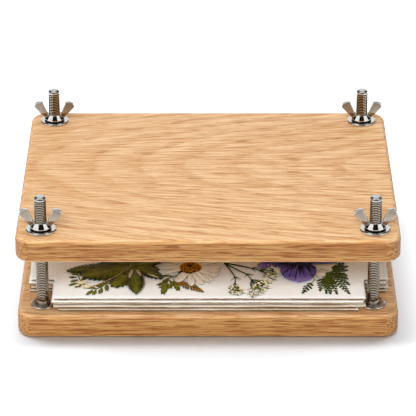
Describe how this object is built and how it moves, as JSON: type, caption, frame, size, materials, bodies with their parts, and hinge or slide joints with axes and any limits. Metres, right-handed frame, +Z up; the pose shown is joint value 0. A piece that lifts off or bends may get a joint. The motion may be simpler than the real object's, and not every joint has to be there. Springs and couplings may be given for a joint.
{
  "type": "flower press",
  "caption": "Flower press: two oak boards on carriage bolts with wing nuts, holding notched blotting sheets and pressed flowers.",
  "frame": {"origin": "centre of the bottom board's underside, on the surface that the press stands on", "axes": "+X along the boards' length to the right, +Y to the back, +Z up along the bolts, towards the wing nuts"},
  "size_m": [0.25, 0.203, 0.0955],
  "materials": {
    "oak": "oiled oak, open grain",
    "bolt_steel": "bright zinc-plated thread",
    "washer_steel": "polished",
    "nut_steel": "satin, polished hub",
    "blotting_paper": "matt, fibrous",
    "card": "matt",
    "dark_leaf": "pressed leaf, matt",
    "bright_leaf": "pressed leaf, matt",
    "brown_leaf": "pressed leaf, matt",
    "daisy_white": "pressed petal, soft",
    "daisy_yellow": "dried flower disc",
    "umbel_cream": "dried florets on green stalks",
    "fern_green": "pressed leaf, matt",
    "pansy_pale": "pressed petal, thin",
    "pansy_violet": "pressed petal, veined"
  },
  "bodies": {
    "base": {"bottom_board": "oak", "bolt_front_left": "bolt_steel", "bolt_front_right": "bolt_steel", "bolt_back_left": "bolt_steel", "bolt_back_right": "bolt_steel", "lower_washer_front_left": "washer_steel", "lower_washer_front_right": "washer_steel", "lower_washer_back_left": "washer_steel", "lower_washer_back_right": "washer_steel", "blotting_sheet_1": "blotting_paper", "card_1": "card", "blotting_sheet_2": "blotting_paper", "card_2": "card", "blotting_sheet_3": "blotting_paper", "card_3": "card", "blotting_sheet_4": "blotting_paper", "compound_leaf": "dark_leaf", "blossom_sprig": "bright_leaf", "parsley_sprig": "bright_leaf", "brown_fern_tip": "brown_leaf", "daisy_petals": "daisy_white", "daisy_disc": "daisy_yellow", "umbel_spray": "umbel_cream", "fern_leaf": "fern_green", "pansy_pale_petals": "pansy_pale", "pansy_violet_petals": "pansy_violet"},
    "press_plate": {"top_board": "oak", "upper_washer_front_left": "washer_steel", "upper_washer_front_right": "washer_steel", "upper_washer_back_left": "washer_steel", "upper_washer_back_right": "washer_steel"},
    "nut_front_left": {"wing_nut_front_left": "nut_steel"},
    "nut_front_right": {"wing_nut_front_right": "nut_steel"},
    "nut_back_left": {"wing_nut_back_left": "nut_steel"},
    "nut_back_right": {"wing_nut_back_right": "nut_steel"}
  },
  "joints": [
    {"name": "plate_travel", "type": "slide", "parent": "base", "child": "press_plate", "axis": [0, 0, 1], "range_m": [-0.026, 0.0165]},
    {"name": "nut_turn_front_left", "type": "hinge", "parent": "press_plate", "child": "nut_front_left", "pos_m": [-0.1085, -0.085, 0.0726], "axis": [0, 0, 1], "range_deg": [-7493, 4757]},
    {"name": "nut_turn_front_right", "type": "hinge", "parent": "press_plate", "child": "nut_front_right", "pos_m": [0.1085, -0.085, 0.0726], "axis": [0, 0, 1], "range_deg": [-7493, 4757]},
    {"name": "nut_turn_back_left", "type": "hinge", "parent": "press_plate", "child": "nut_back_left", "pos_m": [-0.1085, 0.085, 0.0726], "axis": [0, 0, 1], "range_deg": [-7493, 4757]},
    {"name": "nut_turn_back_right", "type": "hinge", "parent": "press_plate", "child": "nut_back_right", "pos_m": [0.1085, 0.085, 0.0726], "axis": [0, 0, 1], "range_deg": [-7493, 4757]}
  ],
  "couplings": [
    {"joint": "nut_turn_front_left", "follows": "plate_travel", "rad_per_m": 5026.5},
    {"joint": "nut_turn_front_right", "follows": "plate_travel", "rad_per_m": 5026.5},
    {"joint": "nut_turn_back_left", "follows": "plate_travel", "rad_per_m": 5026.5},
    {"joint": "nut_turn_back_right", "follows": "plate_travel", "rad_per_m": 5026.5}
  ]
}
